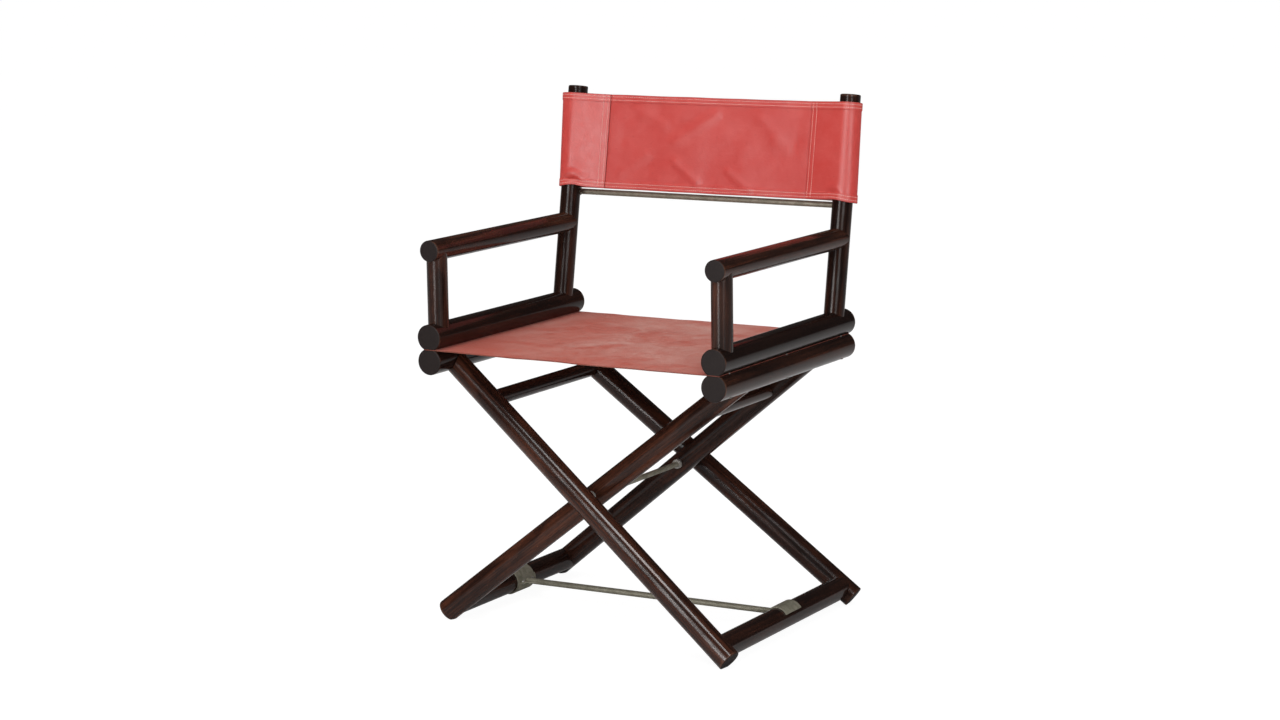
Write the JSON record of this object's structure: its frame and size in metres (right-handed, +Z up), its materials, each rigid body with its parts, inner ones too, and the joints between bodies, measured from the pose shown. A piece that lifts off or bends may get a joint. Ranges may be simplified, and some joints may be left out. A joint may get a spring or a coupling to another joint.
{
  "type": "director chair",
  "caption": "Folding director chair with crossed round wooden legs, stacked seat rails, round arms, a leather sling seat and a sleeved leather back.",
  "frame": {"origin": "middle of the chair's footprint box, on the floor", "axes": "+Z up, +X to the chair's right seen from the front, -Y the way the sitter faces"},
  "size_m": [0.5807, 0.4928, 0.8566],
  "materials": {
    "dark_wood": "dark stained and semi-gloss, with worn edges",
    "seat_leather": "red leather, faded and mottled by use",
    "back_leather": "red leather with a soft sheen and pale stitching",
    "bronzed_steel": "olive-bronze, satin",
    "bush_brass": "plain turned brass",
    "plain_steel": "dull steel"
  },
  "bodies": {
    "outer_frame": {"outer_front_leg": "dark_wood", "outer_rear_leg": "dark_wood", "outer_bottom_stretcher": "dark_wood", "outer_top_stretcher": "dark_wood", "pivot_axle": "bronzed_steel", "axle_spacers": "plain_steel", "axle_collars": "plain_steel"},
    "inner_frame": {"inner_front_leg": "dark_wood", "inner_rear_leg": "dark_wood", "inner_bottom_stretcher": "dark_wood", "inner_top_stretcher": "dark_wood", "axle_bushes": "bush_brass"},
    "left_side": {"left_lower_rail": "dark_wood", "left_upper_rail": "dark_wood", "left_arm": "dark_wood", "left_front_post": "dark_wood", "left_back_post": "dark_wood", "left_hinge_rod": "plain_steel", "left_rail_plug": "dark_wood", "left_clamp_screws": "plain_steel", "left_seat_edge": "seat_leather", "left_back_sleeve": "back_leather", "spreader_pivot": "plain_steel", "seat_sling": "seat_leather", "back_panel": "back_leather"},
    "right_side": {"right_lower_rail": "dark_wood", "right_upper_rail": "dark_wood", "right_arm": "dark_wood", "right_front_post": "dark_wood", "right_back_post": "dark_wood", "right_hinge_rod": "plain_steel", "right_rail_plug": "dark_wood", "right_clamp_screws": "plain_steel", "right_seat_edge": "seat_leather", "right_back_sleeve": "back_leather", "spreader_stud": "plain_steel"},
    "spreader": {"spreader_bar": "bronzed_steel"},
    "foot_brace": {"brace_clip": "bronzed_steel", "brace_saddle": "bronzed_steel", "brace_rod": "bronzed_steel", "brace_rivets": "plain_steel"}
  },
  "joints": [
    {"name": "fold", "type": "hinge", "parent": "outer_frame", "child": "inner_frame", "pos_m": [0, -0.0169, 0.23386], "axis": [0, -1, 0], "range_deg": [0, 93.04], "deforming": ["seat_sling", "back_panel"]},
    {"name": "left_side_turn", "type": "hinge", "parent": "outer_frame", "child": "left_side", "pos_m": [-0.2625, -0.0169, 0.4425], "axis": [0, -1, 0], "range_deg": [0, 46.52]},
    {"name": "right_side_turn", "type": "hinge", "parent": "inner_frame", "child": "right_side", "pos_m": [0.2625, -0.0169, 0.4425], "axis": [0, 1, 0], "range_deg": [0, 46.52]},
    {"name": "brace_lift", "type": "hinge", "parent": "inner_frame", "child": "foot_brace", "pos_m": [-0.25866, -0.0062, 0.02827], "axis": [0, -1, 0], "range_deg": [0, 35.88]},
    {"name": "spreader_lift", "type": "hinge", "parent": "left_side", "child": "spreader", "pos_m": [-0.2625, 0.2233, 0.67137], "axis": [0, -0.9851, 0.1719], "range_deg": [0, 85]}
  ],
  "couplings": [
    {"joint": "left_side_turn", "follows": "fold", "ratio": 0.5},
    {"joint": "right_side_turn", "follows": "fold", "ratio": 0.5},
    {"joint": "brace_lift", "follows": "fold", "ratio": 0.3856}
  ]
}
